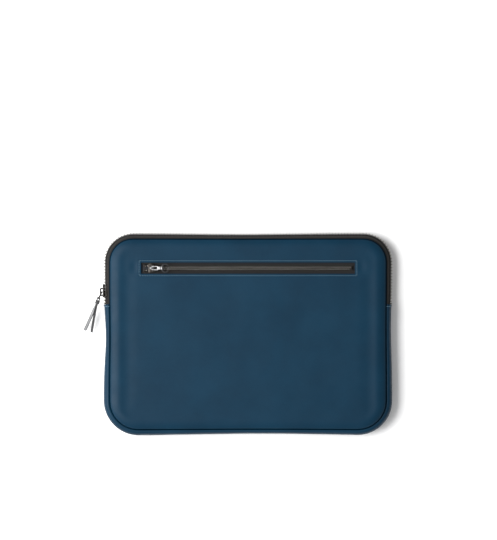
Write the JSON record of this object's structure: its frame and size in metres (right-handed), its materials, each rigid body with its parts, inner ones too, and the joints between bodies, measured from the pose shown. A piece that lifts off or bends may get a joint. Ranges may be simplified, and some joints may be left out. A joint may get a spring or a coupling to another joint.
{
  "type": "laptop sleeve",
  "caption": "Slim padded leather sleeve for a laptop, with rounded corners, a wrap-round zip and a zipped slip pocket across its front.",
  "frame": {"origin": "centre of the flat resting face of the back panel", "axes": "+X across the sleeve's width, +Y towards the zipped top edge, +Z out of the front face"},
  "size_m": [0.3534, 0.2316, 0.0365],
  "materials": {
    "blue_leather": "satin",
    "foam": "matte",
    "lining": "matte",
    "zip_tape": "matte",
    "gunmetal": "satin",
    "steel": "satin",
    "strap_leather": "satin"
  },
  "bodies": {
    "case": {"back_panel": "blue_leather", "back_foam": "foam", "back_lining": "lining", "lower_gusset": "blue_leather", "gusset_lining": "lining", "front_panel_lower": "blue_leather", "pocket_lining_lower": "lining", "front_foam_lower": "foam", "front_lining_lower": "lining", "main_tape_back": "zip_tape", "main_teeth_back": "gunmetal", "main_top_stop_back": "gunmetal", "main_bottom_stop": "gunmetal"},
    "flap": {"front_panel_upper": "blue_leather", "pocket_lining_upper": "lining", "front_foam_upper": "foam", "front_lining_upper": "lining", "main_tape_front": "zip_tape", "main_teeth_front": "gunmetal", "main_top_stop_front": "gunmetal", "pocket_tape_upper": "zip_tape", "pocket_tape_lower": "zip_tape", "pocket_teeth_upper": "gunmetal", "pocket_teeth_lower": "gunmetal", "pocket_top_stop_upper": "gunmetal", "pocket_top_stop_lower": "gunmetal", "pocket_bottom_stop": "gunmetal"},
    "main_slider": {"main_slider_body": "gunmetal", "main_slider_crown": "steel"},
    "main_pull": {"main_pull_loop": "gunmetal"},
    "main_strap": {"main_pull_strap": "strap_leather", "main_pull_keeper": "strap_leather"},
    "pocket_slider": {"pocket_slider_body": "gunmetal", "pocket_slider_crown": "steel"},
    "pocket_pull": {"pocket_pull_tab": "steel"},
    "pocket_ring": {"pocket_pull_ring": "steel"}
  },
  "joints": [
    {"name": "flap_fold", "type": "hinge", "parent": "case", "child": "flap", "pos_m": [0, 0.0343, 0.028], "axis": [1, 0, 0], "range_deg": [0, 75], "deforming": ["main_teeth_front", "main_teeth_back"]},
    {"name": "main_slider_travel", "type": "slide", "parent": "case", "child": "main_slider", "axis": [0, 1, 0], "range_m": [0, 0.025], "deforming": ["main_teeth_front", "main_teeth_back"]},
    {"name": "main_pull_swing", "type": "hinge", "parent": "main_slider", "child": "main_pull", "pos_m": [-0.1672, 0.0484, 0.014], "axis": [0, 0, 1], "range_deg": [-110, 5]},
    {"name": "main_strap_swing", "type": "hinge", "parent": "main_pull", "child": "main_strap", "pos_m": [-0.17084, 0.04094, 0.014], "axis": [0, 0, 1], "range_deg": [-60, 4]},
    {"name": "pocket_slider_travel", "type": "slide", "parent": "flap", "child": "pocket_slider", "axis": [1, 0, 0], "range_m": [0, 0.218], "deforming": ["pocket_teeth_upper", "pocket_teeth_lower"]},
    {"name": "pocket_pull_lift", "type": "hinge", "parent": "pocket_slider", "child": "pocket_pull", "pos_m": [-0.1096, 0.0756, 0.0293], "axis": [0, -1, 0], "range_deg": [0, 125]},
    {"name": "pocket_ring_swing", "type": "hinge", "parent": "pocket_pull", "child": "pocket_ring", "pos_m": [-0.09809, 0.0756, 0.03467], "axis": [0, -1, 0], "range_deg": [0, 60]}
  ]
}
